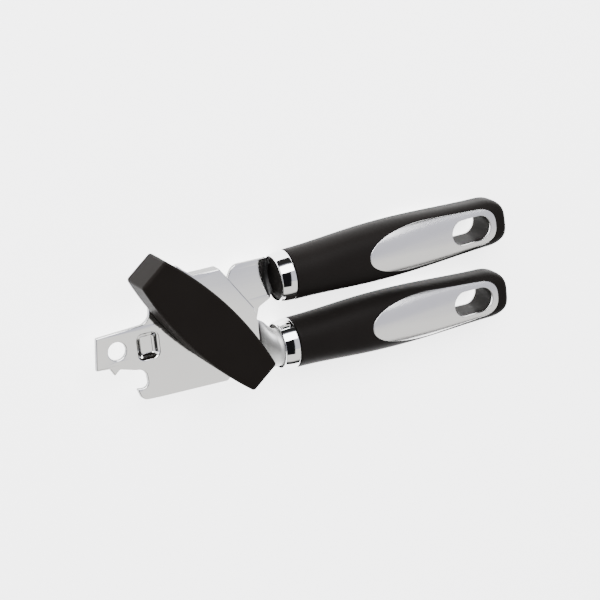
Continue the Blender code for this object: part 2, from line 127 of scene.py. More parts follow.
# %% A material that takes formulas
class Finish(Nodes):
    """A material with one Principled shader and short ways to feed it."""

    def __init__(self, name, **values):
        self.material = bpy.data.materials.new(name)
        self.material.use_nodes = True
        super().__init__(self.material.node_tree)
        self.shader = self.tree.nodes["Principled BSDF"]
        for key, value in values.items():
            self.feed(key.replace("_", " "), value)

    def feed(self, name, value):
        if isinstance(value, Value):
            self.tree.links.new(value.socket, self.shader.inputs[name])
        else:
            self.shader.inputs[name].default_value = value

    def place(self, scale=(1, 1, 1), centre=(0, 0, 0), turn=(0, 0, 0)):
        """The object's own coordinates, moved, turned and stretched."""
        own = self.node("ShaderNodeTexCoord", output=3)
        moved = self.node("ShaderNodeVectorMath", {"operation": "SUBTRACT"}, {0: own, 1: centre})
        return self.node("ShaderNodeMapping", None,
                         {"Vector": moved, "Scale": scale, "Rotation": turn})

    def bump(self, height, strength, distance):
        self.feed("Normal", self.node("ShaderNodeBump", None,
                                      {"Height": height, "Strength": strength,
                                       "Distance": distance}))


print("finish helpers:", [name for name in vars(Finish) if not name.startswith("_")])

# %% [markdown]
# ## Finishes
# The sheet metal is polished until it mirrors: what shows it to be steel is a low,
# slightly uneven roughness and hair-fine polishing lines. The turned parts keep
# rings from the lathe, drawn here from the distance to their own axis. The grips and
# the knob are satin mouldings, near black, whose fine spark-eroded grain breaks up
# the highlight. The inlays are silver with a very fine brushed grain along them.
# Image textures could hold such marks. Noise stretched along the grain needs no
# file, stays sharp close up and follows the object's own millimetres.


# %% Metal finishes
def polished_steel():
    """Mirror-polished sheet, rougher and with painted shade where its dull attribute says so."""
    made = Finish("polished_steel", Metallic=1.0)
    lines = made.noise(made.place((60, 2600, 400), turn=(0, 0, 0.35)), 1.0, 2.0)
    cloud = made.noise(made.place((1, 1, 1)), 38.0, 4.0)
    dull = made.node("ShaderNodeAttribute", {"attribute_name": "dull"}, output=2)
    bright = made.mix(cloud, (0.84, 0.84, 0.835, 1), (0.90, 0.90, 0.89, 1))
    # Where the dull attribute is high the colour goes dark grey, which is painted shade on the
    # sheared edges and in the tang channel, and the roughness rises.
    made.feed("Base Color", made.mix(dull, bright, (0.11, 0.11, 0.11, 1)))
    blur = dull.math("MINIMUM", dull * 1.4, 0.5)
    made.feed("Roughness", 0.035 + cloud * 0.05 + lines * 0.02 + blur)
    made.bump(lines, 0.05, 0.00002)
    return made.material


def turned_steel(name, centre, tint=(0.55, 0.55, 0.56, 1), light=(0.72, 0.72, 0.72, 1)):
    """Turned metal with rings about an upright axis."""
    made = Finish(name, Metallic=1.0)
    where = made.place((1, 1, 0), (centre[0], centre[1], 0))
    radius = made.node("ShaderNodeVectorMath", {"operation": "LENGTH"}, {0: where}, output=1)
    rings = made.node("ShaderNodeMath", {"operation": "SINE"}, {0: radius * 21000.0})
    cloud = made.noise(made.place(), 160.0, 4.0)
    made.feed("Base Color", made.mix(cloud, tint, light))
    made.feed("Roughness", 0.22 + cloud * 0.16)
    made.bump(rings * 0.5 + cloud, 0.12, 0.00004)
    return made.material


def chrome_plate():
    """Bright plating over a drawn ring, with the slight orange peel of thick chrome."""
    made = Finish("chrome_plate", Metallic=1.0)
    peel = made.noise(made.place(), 420.0, 2.0)
    cloud = made.noise(made.place(), 60.0, 3.0)
    made.feed("Base Color", made.mix(cloud, (0.83, 0.83, 0.83, 1), (0.9, 0.9, 0.895, 1)))
    made.feed("Roughness", 0.03 + cloud * 0.04)
    made.bump(peel, 0.04, 0.00006)
    return made.material


def satin_silver():
    """Satin metallic inlay with a fine lengthwise grain."""
    made = Finish("satin_silver", Metallic=0.95)
    grain = made.noise(made.place((90, 3200, 3200)), 1.0, 3.0, 0.6)
    cloud = made.noise(made.place(), 45.0, 3.0)
    made.feed("Base Color", made.mix(grain * 0.5 + cloud * 0.5, (0.74, 0.735, 0.73, 1),
                                     (0.86, 0.855, 0.845, 1)))
    made.feed("Roughness", 0.17 + grain * 0.10)
    made.bump(grain, 0.06, 0.00003)
    return made.material


print("metal finishes defined")


# %% Moulded finishes
def moulding(name, dark, light, low_gloss, high_gloss, specular):
    """Satin moulded plastic: fine grain in the bump, soft clouds in the gloss."""
    made = Finish(name, **{"Specular IOR Level": specular})
    grain = made.noise(made.place(), 2600.0, 2.0, 0.7)
    cloud = made.noise(made.place(), 55.0, 4.0)
    made.feed("Base Color", made.mix(cloud, dark, light))
    made.feed("Roughness", low_gloss + cloud * (high_gloss - low_gloss))
    made.bump(grain, 0.16, 0.00005)
    return made.material


STEEL = polished_steel()
CHROME = chrome_plate()
SILVER = satin_silver()
GRIP = moulding("grip_black", (0.0080, 0.0069, 0.0063, 1), (0.0118, 0.0104, 0.0096, 1),
                0.40, 0.52, 0.035)
KNOB = moulding("knob_black", (0.0086, 0.0072, 0.0063, 1), (0.0112, 0.0096, 0.0086, 1),
                0.40, 0.50, 0.015)
print("finishes:", [m.name for m in (STEEL, CHROME, SILVER, GRIP, KNOB)])

# %% [markdown]
# ## Mesh helpers
# Most pieces are rows of points joined by quads: a turned ring, a lofted grip, the
# skin of an inlay. Sheet metal is a flat outline with holes and walls. Edges of real
# sheet and mouldings are never sharp, and their small rounds catch the light. Where a
# piece is rows of points, the round is a few more rows. A Bevel modifier could do it
# everywhere, but holds its width only where there is room, so it is kept for the
# grips and the teeth. Lengths here are in millimetres, and turn to metres at the end.


# %% Rows, faces and outlines
def strip(bm, rows, closed=True):
    """Quads between neighbouring rows of 3-D points."""
    made = [[bm.verts.new(p) for p in row] for row in rows]
    count = len(rows[0])
    for low, high in zip(made, made[1:]):
        for i in range(count if closed else count - 1):
            j = (i + 1) % count
            bm.faces.new((low[i], low[j], high[j], high[i]))


def cap(bm, row):
    bm.faces.new([bm.verts.new(p) for p in row])


def at_height(loop, z):
    return [(x, y, z) for x, y in loop]


def arc(centre, radius, start, end, count):
    steps = [radians(start + (end - start) * i / (count - 1)) for i in range(count)]
    return [(centre[0] + radius * cos(a), centre[1] + radius * sin(a)) for a in steps]


def circle(centre, radius, count=64):
    return arc(centre, radius, 0, 360 - 360 / count, count)


def flat_face(bm, loops, z):
    """A face with holes at one height: loops[0] outside, the rest are holes."""
    rows = [[Vector((x, y, z)) for x, y in loop] for loop in loops]
    points = [bm.verts.new(p) for row in rows for p in row]
    for corner in tessellate_polygon(rows):
        bm.faces.new([points[i] for i in corner])


NEARLY_STRAIGHT = 1.54  # half the corner's angle, in radians


def rounded(corners, count=9):
    """Outline from (x, y, radius) corners, with each corner rounded off."""
    outline = []
    for i, (x, y, radius) in enumerate(corners):
        here = Vector((x, y))
        before = (Vector(corners[i - 1][:2]) - here).normalized()
        after = (Vector(corners[(i + 1) % len(corners)][:2]) - here).normalized()
        half = before.angle(after) / 2
        if radius <= 0 or half > NEARLY_STRAIGHT:
            outline.append((x, y))
            continue
        middle = here + (before + after).normalized() * radius / sin(half)
        reach = radius * cos(half) / sin(half)
        first = here + before * reach
        last = here + after * reach
        a0 = atan2(first.y - middle.y, first.x - middle.x)
        a1 = atan2(last.y - middle.y, last.x - middle.x)
        turn = (a1 - a0 + pi) % (2 * pi) - pi
        for k in range(count):
            a = a0 + turn * k / (count - 1)
            outline.append((middle.x + radius * cos(a), middle.y + radius * sin(a)))
    return outline


print("mesh helpers ready")


# %% Turning a mesh into a finished piece
def new_object(name, bm, matrix=None):
    """Weld the mesh, turn its faces outwards and link it, in metres, at the origin."""
    bmesh.ops.remove_doubles(bm, verts=bm.verts, dist=1e-5)
    bmesh.ops.dissolve_degenerate(bm, edges=bm.edges, dist=1e-6)
    bmesh.ops.recalc_face_normals(bm, faces=bm.faces)
    bmesh.ops.scale(bm, verts=bm.verts, vec=(MM, MM, MM))
    if matrix is not None:
        bmesh.ops.transform(bm, matrix=matrix, verts=bm.verts)
    mesh = bpy.data.meshes.new(name)
    bm.to_mesh(mesh)
    bm.free()
    made = bpy.data.objects.new(name, mesh)
    bpy.context.scene.collection.objects.link(made)
    return made


def apply_modifiers(obj):
    """Bake an object's modifiers into its mesh."""
    graph = bpy.context.evaluated_depsgraph_get()
    graph.update()
    mesh = bpy.data.meshes.new_from_object(obj.evaluated_get(graph))
    obj.modifiers.clear()
    obj.data = mesh
    return obj


def cut_away(obj, *guides):
    """Cut the guides out of the piece, then delete them."""
    for guide in guides:
        modifier = obj.modifiers.new("cut", "BOOLEAN")
        modifier.operation = "DIFFERENCE"
        modifier.object = guide
    apply_modifiers(obj)
    for guide in guides:
        bpy.data.objects.remove(guide)
    return obj


def soften(obj, width, segments, angle):
    """A small round on every edge sharper than the angle, in degrees."""
    bevel = obj.modifiers.new("edges", "BEVEL")
    bevel.width = width * MM
    bevel.segments = segments
    bevel.limit_method = "ANGLE"
    bevel.angle_limit = radians(angle)
    return apply_modifiers(obj)


LARGE_FACES_LEAD = 90  # over 50, a large face sets the shading of its small neighbours


def finished(obj, finish, slot, body, *nodes, angle=40):
    """Shade, paint and hand the piece to its body, in place of its CAD node."""
    mesh = obj.data
    mesh.materials.clear()
    mesh.materials.append(finish)
    mesh.shade_smooth()
    mesh.set_sharp_from_angle(angle=radians(angle))
    weighted = obj.modifiers.new("flat_faces_stay_flat", "WEIGHTED_NORMAL")
    weighted.keep_sharp = True
    weighted.weight = LARGE_FACES_LEAD
    mesh = apply_modifiers(obj).data
    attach(obj, body)
    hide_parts(*nodes)
    print(f"{obj.name}: {len(mesh.polygons)} faces, rides on {body}")


print("finishing helpers ready")


# %% [markdown]
# ## Handles
# Each grip is one moulding round the tang of its plate: round where the ferrule sits,
# fuller in the palm and squarer towards the hang slot. A subdivided cage could be
# pulled to that shape by eye. A loft of superellipses gives the change with one
# number, the squareness, and can be asked for its height at any point, which the
# inlays need. Its sizes are the frame's own.

# %% The grip as a rule
HANDLE_Z = 11.8
LOWER_MOUTH = (41.3, -25.1)
UPPER_MOUTH = (43.2, 8.0)
UPPER_TILT = 1.6
FERRULE_L = 7.5
HANDLE_L = 124.8
GAP = 0.3
FLATTEN = 0.94
NECK_A = 10.2
SLOT_S = (92.6, 113.8)
SLOT_HALF = 6.1
INLAY_S = (46.0, 117.3)
INLAY_WIDEST_S = 78.0
INLAY_HALF = 11.3
INLAY_TAPER = 0.07
INLAY_T = 1.3
END_ROUND = 12
END_TRIM = 0.24
NECK_S = 0.8
NECK_ROUND = 0.7


def smooth(t):
    t = max(0.0, min(1.0, t))
    return t * t * (3 - 2 * t)


def between(s, keys):
    """Smooth value at s through (s, value) keys."""
    for (s0, v0), (s1, v1) in zip(keys, keys[1:]):
        if s <= s1:
            return v0 + (v1 - v0) * smooth((s - s0) / (s1 - s0))
    return keys[-1][1]


def rounded_end(s, length, power):
    ratio = max(0.0, (s - (HANDLE_L - length)) / length)
    return max(0.0, 1 - ratio ** power) ** (1 / power)


def half_height(s):
    return between(s, [(7.8, 12.3), (58, 14.1), (118, 11.7)]) * rounded_end(s, END_ROUND, 2.5)


def half_depth(s):
    return between(s, [(7.8, 11.5), (45, 11.8), (112, 9.0)]) * rounded_end(s, 4, 2.2)


def squareness(s):
    return between(s, [(7.8, 2.0), (50, 2.35), (105, 3.4)])


def section(s, height, depth, power, count=96):
    """A superellipse round the handle's axis."""
    points = []
    for i in range(count):
        a = 2 * pi * (i + 0.5) / count
        y = height * abs(cos(a)) ** (2 / power) * (1 if cos(a) >= 0 else -1)
        z = depth * abs(sin(a)) ** (2 / power) * (1 if sin(a) >= 0 else -1)
        points.append((s, y, z))
    return points


def surface_z(s, y):
    """Height of the grip's face above its axis."""
    ratio = min(0.999, abs(y) / half_height(s))
    power = squareness(s)
    return half_depth(s) * (1 - ratio ** power) ** (1 / power)


print("palm is", round(2 * half_height(58), 1), "mm high")

# %% [markdown]
# Each inlay is a thin satin plate let into the grip's face, with the hang slot through
# it. A Shrinkwrap modifier could lay a flat plate on the grip. Here the inlay asks the
# grip's own rule for its height instead, so the two can't disagree.

# %% The inlay and the slot as rules
def inlay_half(s, grow):
    """Half-width of the inlay's outline at s."""
    if s < INLAY_WIDEST_S:
        ratio = min(1.0, (INLAY_WIDEST_S - s) / (INLAY_WIDEST_S - INLAY_S[0] + grow))
        return (INLAY_HALF + grow) * (1 - ratio ** 2.2) ** (1 / 2.2)
    ratio = min(1.0, max(0.0, (s - (INLAY_S[1] + grow - 9)) / 9))
    side = INLAY_HALF + grow - INLAY_TAPER * (s - INLAY_WIDEST_S)
    return side * (1 - ratio ** 2.6) ** (1 / 2.6)


def inlay_loop(grow, count=72):
    """Outline of the inlay from its tip along the upper side and back."""
    tip = INLAY_S[0] - grow
    end = INLAY_S[1] + grow
    stations = [tip + (end - tip) * (1 - cos(pi * i / count)) / 2 for i in range(count + 1)]
    upper = [(s, inlay_half(s, grow)) for s in stations]
    return upper + [(s, -w) for s, w in upper[-2:0:-1]]


def slot_loop(grow, count):
    """The hang slot as count points from its left end along the upper side."""
    half = SLOT_HALF + grow
    left = SLOT_S[0] + SLOT_HALF
    right = SLOT_S[1] - SLOT_HALF
    quarter = pi * half / 2
    total = 4 * quarter + 2 * (right - left)
    points = []
    for i in range(count):
        d = total * i / count
        side = 1 if d < total / 2 else -1
        d = d if side > 0 else total - d
        if d < quarter:
            point = (left - half * cos(d / half), half * sin(d / half))
        elif d < quarter + right - left:
            point = (left + d - quarter, half)
        else:
            a = pi / 2 - (d - quarter - right + left) / half
            point = (right + half * cos(a), half * sin(a))
        points.append((point[0], side * point[1]))
    return points


def rim(radius, count=4):
    """(inset, drop) pairs round a quarter circle, from the wall to the face."""
    turns = [pi / 2 * i / count for i in range(count + 1)]
    return [(radius * (1 - cos(a)), radius * (1 - sin(a))) for a in turns]


def draped(name, outer, inner, side, matrix, edge=0.4, rings=14):
    """A plate between two loops that follows the grip's face, with rounded edges."""
    bm = bmesh.new()

    def row(from_outer, share, from_inner, drop):
        points = []
        for (s0, y0), (s1, y1) in zip(outer, inner):
            reach = hypot(s1 - s0, y1 - y0)
            t = (from_outer + (reach - from_outer - from_inner) * share) / reach
            s = s0 + (s1 - s0) * t
            y = y0 + (y1 - y0) * t
            points.append((s, y, side * (surface_z(s, y) - drop)))
        return points

    rows = [row(inset, 0, 0, drop) for inset, drop in rim(edge)]
    rows += [row(edge, i / rings, edge, 0) for i in range(1, rings)]
    rows += [row(0, 1, inset, drop) for inset, drop in rim(edge)[::-1]]
    rows += [row(0, i / rings, 0, INLAY_T) for i in range(rings, -1, -1)]
    strip(bm, rows + rows[:1])
    return new_object(name, bm, matrix)


def handle_matrix(mouth, tilt):
    move = Matrix.Translation(Vector((mouth[0], mouth[1], HANDLE_Z)) * MM)
    return move @ Matrix.Rotation(radians(tilt), 4, "Z")


print("inlay outline has", len(inlay_loop(0)), "points")

# %% [markdown]
# ## Tangs
# Behind the ferrule each plate is pressed into a half-round channel, so that a thin
# sheet fills a round handle. A Simple Deform modifier could roll the sheet, but not
# from flat to half round along its length. So its rows start flat on the plate and
# rise on arcs of growing height. The same rows, a little thicker, cut the channel's
# seat in the grip.

# %% The tang as rows of arcs
PLATE_T = 2.0
FRONT_Z = 11.9
REAR_Z = 6.9
TANG_R = 8.5
TANG_END_S = 22.0
ACROSS = 24
GROOVE_SPREAD = 0.05


def bent(x, blend=0.12):
    """Straight rise from 0 to 1 with a short bend at each end."""
    if x < blend:
        return x * x / (2 * blend * (1 - blend))
    if x > 1 - blend:
        return 1 - (1 - x) ** 2 / (2 * blend * (1 - blend))
    return (x - blend / 2) / (1 - blend)


def tang_rows(mouth, tilt, start, full_s, plate_mid, extra=0.0, sign=1, bow=0.0):
    """Outer and inner rows of the tang, flat at the plate and half round at the ferrule.

    start is (s, half width, y) of the first row. bow moves the ends of that row
    towards the ferrule and lets the channel drop at once.
    """
    start_s, start_half, start_y = start
    lift = sign * (plate_mid - HANDLE_Z)
    full_half = sqrt(TANG_R ** 2 - lift ** 2)
    full_rise = TANG_R - lift
    turn = Matrix.Rotation(radians(tilt), 2)
    stations = [start_s + (full_s - start_s) * i / 24 for i in range(25)]
    outers, inners = [], []
    for s in stations + [8.0, TANG_END_S + extra]:
        way = min(1.0, (s - start_s) / (full_s - start_s))
        t = 1 - (1 - way) ** 3 if bow else bent(way)
        half = start_half + (full_half - start_half) * smooth(way)
        middle = start_y * (1 - smooth(way))
        rise = max(full_rise * t, half * 1e-4)
        radius = (half ** 2 + rise ** 2) / (2 * rise)
        spread = asin(min(1.0, half / radius))
        if rise > half:
            spread = pi - spread
        if way > 0.5:
            spread *= 1 + extra * GROOVE_SPREAD
        pair = ([], [])
        for i in range(-ACROSS, ACROSS + 1):
            share = i / ACROSS
            for points, wall in zip(pair, (PLATE_T / 2 + extra, -PLATE_T / 2 - extra)):
                y = middle + (radius + wall) * sin(spread * share)
                z = (radius + wall) * cos(spread * share) - (radius - rise)
                spot = turn @ Vector((s + bow * (1 - way) * share ** 2, y))
                points.append((mouth[0] + spot.x, mouth[1] + spot.y, plate_mid + sign * z))
        outers.append(pair[0])
        inners.append(pair[1])
    return outers, inners


def band(bm, outers, inners, closed_start=False):
    """Walls of the tang, with the far end closed."""
    strip(bm, outers, closed=False)
    strip(bm, inners, closed=False)
    for k in (0, -1):
        strip(bm, [[row[k] for row in outers], [row[k] for row in inners]], closed=False)
    strip(bm, [outers[-1], inners[-1]], closed=False)
    if closed_start:
        strip(bm, [outers[0], inners[0]], closed=False)


print("tang wall is", PLATE_T, "mm")


# %% Moulding a grip and cutting its seats
def make_grip(side, matrix, groove):
    """Moulded grip with its neck, tang seat, inlay seats and hang slot."""
    stations = [FERRULE_L + GAP + NECK_ROUND * (1 - cos(a)) for a in (0, 0.8, pi / 2)]
    start = stations[-1]
    stations += [start + (HANDLE_L - END_ROUND - start) * i / 60 for i in range(1, 61)]
    ends = [sin(pi * i / 48) for i in range(1, 24)]
    stations += [HANDLE_L - END_ROUND * (1 - k) for k in ends]
    placed = stations[:-len(ends)]
    placed += [HANDLE_L - END_ROUND * (1 - k) - END_TRIM * k * k for k in ends]
    rows = [section(s, NECK_A, NECK_A * FLATTEN, 2) for s in (NECK_S, FERRULE_L + GAP)]
    for k, (s, spot) in enumerate(zip(stations, placed)):
        trim = 1 - 0.05 * (1 - sin(min(k, 2) * pi / 4))
        rows.append(section(spot, half_height(s) * trim, half_depth(s) * trim, squareness(s)))
    bm = bmesh.new()
    strip(bm, rows)
    cap(bm, rows[0])
    cap(bm, rows[-1])
    grip = new_object(side + "_grip_moulding", bm, matrix)
    bm = bmesh.new()
    band(bm, *groove, True)
    guides = [new_object("tang_seat", bm)]
    outer = inlay_loop(0.12)
    for face in (1, -1):
        guides.append(seat_guide(outer, face, matrix))
    loop = slot_loop(0, 96)
    bm = bmesh.new()
    rows = [at_height(loop, z) for z in (-20, 20)]
    strip(bm, rows)
    cap(bm, rows[0])
    cap(bm, rows[1])
    guides.append(new_object("slot_guide", bm, matrix))
    return cut_away(grip, *guides)


def seat_guide(outer, side, matrix):
    """What the seat of an inlay takes out of the grip."""
    inner = slot_loop(-3.0, len(outer))
    rings = 12
    bm = bmesh.new()

    def row(t, drop):
        spots = [(s0 + (s1 - s0) * t, y0 + (y1 - y0) * t)
                 for (s0, y0), (s1, y1) in zip(outer, inner)]
        return [(s, y, side * (surface_z(s, y) - drop)) for s, y in spots]

    low = [row(i / rings, INLAY_T + 0.15) for i in range(rings, -1, -1)]
    top = [row(i / rings, -4.0) for i in range(rings + 1)]
    strip(bm, low + top)
    cap(bm, low[0])
    cap(bm, top[-1])
    return new_object("seat_guide", bm, matrix)


print("seats are", round(INLAY_T + 0.15, 2), "mm deep")

# %% Grips and inlays of both handles
HANDLES = (
    ("lower", LOWER_MOUTH, 0.0, FRONT_Z + PLATE_T / 2, 1, "frame"),
    ("upper", UPPER_MOUTH, UPPER_TILT, REAR_Z + PLATE_T / 2, -1, "upper_handle"))
for side, mouth, tilt, mid, sign, body in HANDLES:
    matrix = handle_matrix(mouth, tilt)
    groove = tang_rows(mouth, tilt, (-1.5, TANG_R, 0), -1.0, mid, 0.25, sign)
    grip = make_grip(side, matrix, groove)
    soften(grip, 0.25, 2, 40)
    finished(grip, GRIP, "grip_black", body, side + "_grip")
    for face, facing in ((1, "front"), (-1, "back")):
        outer = inlay_loop(0)
        inlay = draped(f"{side}_inlay_plate_{facing}", outer, slot_loop(0.15, len(outer)),
                       face, matrix)
        finished(inlay, SILVER, "satin_silver", body, f"{side}_inlay_{facing}", angle=50)

# %% [markdown]
# ## Ferrules
# The ferrule is a short drawn ring with a rolled lip at each end. A turned profile on
# a slightly flattened circle is all it needs, with enough points to mirror cleanly.

# %% Two chrome ferrules
MOUTH_A = 11.5
BACK_A = 12.3
BORE_A = 10.6
LIP = 0.7
BARREL = 0.16
LIP_STEPS = 8
WALL_STEPS = 12


def ferrule_profile():
    """(s, radius) round the ring's wall, from the bore over both lips."""
    front = [(LIP + LIP * cos(a), MOUTH_A - LIP + LIP * sin(a))
             for a in [pi - pi / 2 * i / LIP_STEPS for i in range(LIP_STEPS + 1)]]
    back = [(FERRULE_L - LIP + LIP * cos(a), BACK_A - LIP + LIP * sin(a))
            for a in [pi / 2 - pi / 2 * i / LIP_STEPS for i in range(LIP_STEPS + 1)]]
    body = [(LIP + (FERRULE_L - 2 * LIP) * i / WALL_STEPS,
             MOUTH_A + (BACK_A - MOUTH_A) * i / WALL_STEPS + BARREL * sin(pi * i / WALL_STEPS))
            for i in range(1, WALL_STEPS)]
    return [(0.25, BORE_A), (0.0, BORE_A + 0.2)] + front + body + back + [(FERRULE_L, BORE_A)]


for side, mouth, tilt, mid, sign, body in HANDLES:
    bm = bmesh.new()
    rows = [section(s, a, a * FLATTEN, 2, 160) for s, a in ferrule_profile()]
    strip(bm, rows + rows[:1])
    ring = new_object(side + "_ferrule_ring", bm, handle_matrix(mouth, tilt))
    finished(ring, CHROME, "chrome_ring", body, side + "_ferrule", angle=60)

# %% [markdown]
# ## Plates
# Both plates are stamped from 2 mm sheet. The outline is a list of corners with a
# radius each, holes are loops inside it, and the tang's first row closes the outline,
# so plate and tang are one sheet. The guide pocket is pressed back beside the wheels.
# An extruded curve could give the flat part, but not the pocket or the tang with it.

# %% The guide pocket
POCKET_CENTRE = (-23.2, -8.9)
POCKET_SIZE = (11.6, 13.8)
POCKET_DEPTH = 2.6
POCKET_CORNER = 3.6
POCKET_WALL = 3.2
WALL_ROWS = 16


def pocket_loop(grow):
    half_x = POCKET_SIZE[0] / 2 + grow
    half_y = POCKET_SIZE[1] / 2 + grow
    x, y = POCKET_CENTRE
    radius = POCKET_CORNER + grow
    return rounded([(x - half_x, y - half_y, radius), (x + half_x, y - half_y, radius),
                    (x + half_x, y + half_y, radius), (x - half_x, y + half_y, radius)], 8)


def pocket_rows(base, grow):
    """Rows down the pocket's wall, which is drawn in a long S from rim to floor."""
    shares = [i / WALL_ROWS for i in range(WALL_ROWS + 1)]
    return [at_height(pocket_loop(grow - POCKET_WALL * k), base - POCKET_DEPTH * smooth(k))
            for k in shares]


print("pocket is", POCKET_DEPTH, "mm deep")

# %% Building a stamped plate
EDGE_R = 0.6


def inward(outline, inset):
    """The outline moved inwards, less and less towards its two ends."""
    moved = []
    last = len(outline) - 1
    for i, here in enumerate(outline):
        x, y = Vector(outline[min(last, i + 1)]) - Vector(outline[max(0, i - 1)])
        size = max(1e-6, hypot(x, y))
        away = min(hypot(here[0] - outline[k][0], here[1] - outline[k][1]) for k in (0, last))
        share = inset * smooth(away / 3) / size
        moved.append((here[0] - y * share, here[1] + x * share))
    return moved


def make_plate(name, corners, holes, z, tang, pocket=False):
    """Flat sheet with rounded edges and holes, joined to the first rows of the tang."""
    outers, inners = tang
    outer_on_top = outers[0][ACROSS][2] > inners[0][ACROSS][2]
    tops, lows = (outers, inners) if outer_on_top else (inners, outers)
    tops[0][:] = [(p[0], p[1], z + PLATE_T) for p in tops[0]]
    lows[0][:] = [(p[0], p[1], z) for p in lows[0]]
    first, last = tops[0][-1], tops[0][0]
    outline = rounded([(first[0], first[1], 0)] + corners + [(last[0], last[1], 0)])[1:-1]
    profile = [(inset, z + drop) for inset, drop in rim(EDGE_R)[::-1]]
    profile += [(inset, z + PLATE_T - drop) for inset, drop in rim(EDGE_R)]
    bm = bmesh.new()
    for height, row, grow in ((z + PLATE_T, tops[0], 0), (z, lows[0], 0.5)):
        loops = [inward(outline, EDGE_R) + [(p[0], p[1]) for p in row]]
        loops += [circle(centre, radius + EDGE_R) for centre, radius in holes]
        if pocket:
            loops.append(pocket_loop(grow))
        flat_face(bm, loops, height)
    rows = [[(tops[0][-1][0], tops[0][-1][1], height)] + at_height(inward(outline, inset), height)
            + [(tops[0][0][0], tops[0][0][1], height)] for inset, height in profile]
    strip(bm, rows, closed=False)
    for centre, radius in holes:
        strip(bm, [at_height(circle(centre, radius + inset), height) for inset, height in profile])
    if pocket:
        for base, grow in ((z + PLATE_T, 0), (z, 0.5)):
            rows = pocket_rows(base, grow)
            strip(bm, rows)
            cap(bm, rows[-1])
    band(bm, outers, inners)
    return new_object(name, bm)


print("sheet is", PLATE_T, "mm with edges rounded to", EDGE_R, "mm")


# %% [markdown]
# Polishing wheels reach the faces but not the sheared edges, nor far into a channel,
# so these are left rougher. Their colour is darkened there too, and that is painted
# shade: the dark lines along the plate's edges and the shade inside the channel. Two
# finishes on one piece could show that, with a hard line between them. A number on
# each face, its dullness and painted shade, lets one finish change softly instead.


# %% Dull edges and channels, with painted shade
def mark_dull(obj, edge, channel, mouth, start_s):
    """Write the dull attribute: sheared walls, then the tang from start_s on.

    It makes them rougher and paints shade into their colour.
    """
    mesh = obj.data
    values = []
    for face in mesh.polygons:
        wall = 1 - smooth((abs(face.normal.z) - 0.15) / 0.5)
        s = face.center.x / MM - mouth[0]
        inside = smooth((s - start_s) / 1.2)
        values.append(max(edge * wall * (1 - inside), channel * inside))
    mesh.attributes.new("dull", "FLOAT", "FACE").data.foreach_set("value", values)
    print(f"{obj.name}: {sum(v > 0.3 for v in values)} dull faces of {len(values)}")


# %% [markdown]
# The front plate carries the spindle, the lower handle, a lifting tab with a hole and
# a small tooth, and the hook of a bottle opener. Its top edge turns back as a stop. A
# Solidify modifier could thicken a bent sheet, but the turned edge is short, so it is
# a profile drawn out along X and joined to the flat sheet.

# %% The front plate
RIVET_HOLE_R = 3.3
PIVOT = (19.0, -13.0)
FLANGE_X = (3.0, 16.0)
FLANGE_DEPTH = 6.6
FLANGE_Y = 19.2
BEND_R = 1.6

front_corners = [
    (32.0, -8.2, 1), (31.6, -3.6, 3), (20.9, 12.1, 8),
    (16.2, 19.2, 1.4), (2.8, 19.2, 0), (-1.6, 22.6, 1.5), (-4.6, 25.6, 1.5),
    (-12.0, 23.5, 5), (-20.5, 12.0, 5), (-21.6, 1.9, 5.5), (-47.8, 0.4, 0.8),
    (-49.59, -15.1, 0.8), (-43.0, -15.6, 0.4), (-40.9, -19.3, 0.5), (-38.0, -16.9, 0.8),
    (-31.0, -18.9, 2), (-25.9, -19.8, 4), (-25.3, -28.7, 2.6), (-31.2, -28.0, 0.4),
    (-29.3, -34.3, 4.5), (-20.0, -34.7, 3), (14.4, -35.3, 2.2), (17.5, -31.0, 3),
    (26.0, -33.0, 3)]
front_holes = [((-38.4, -7.9), 4.25), ((0, 0), 5.8), (PIVOT, RIVET_HOLE_R)]
front = make_plate("front_plate_sheet", front_corners, front_holes, FRONT_Z,
                   tang_rows(LOWER_MOUTH, 0, (-9.2, 12.5, 3.05), -1.0, FRONT_Z + PLATE_T / 2),
                   pocket=True)

print("flat sheet:", len(front.data.polygons), "faces")

# %% The turned edge of the front plate
bm = bmesh.new()
top = FRONT_Z + PLATE_T
profile = [(FLANGE_Y - 3.0, top - 0.02)]
profile += arc((FLANGE_Y - BEND_R, top - BEND_R), BEND_R, 88, 0, 12)
profile += [(FLANGE_Y, top - FLANGE_DEPTH), (FLANGE_Y - PLATE_T, top - FLANGE_DEPTH),
            (FLANGE_Y - PLATE_T, FRONT_Z + 0.02), (FLANGE_Y - 3.0, FRONT_Z + 0.02)]
rows = [[(x, y, z) for y, z in profile] for x in FLANGE_X]
strip(bm, rows)
cap(bm, rows[0])
cap(bm, rows[1])
flange = new_object("stop_flange", bm)
join = front.modifiers.new("join", "BOOLEAN")
join.operation = "UNION"
join.object = flange
apply_modifiers(front)
bpy.data.objects.remove(flange)
# The front plate's sheared edges and channel get more roughness and painted shade.
mark_dull(front, 0.75, 0.32, LOWER_MOUTH, -9.0)
finished(front, STEEL, "polished_steel", "frame", "front_plate", angle=55)

# %% [markdown]
# The rear plate lies behind it. It reaches from the upper handle past the pivot to
# the cutting wheel, on the far side of the spindle, so squeezing the handles closes
# the wheels over the can's rim. It uses the same maker, with its channel turned over.

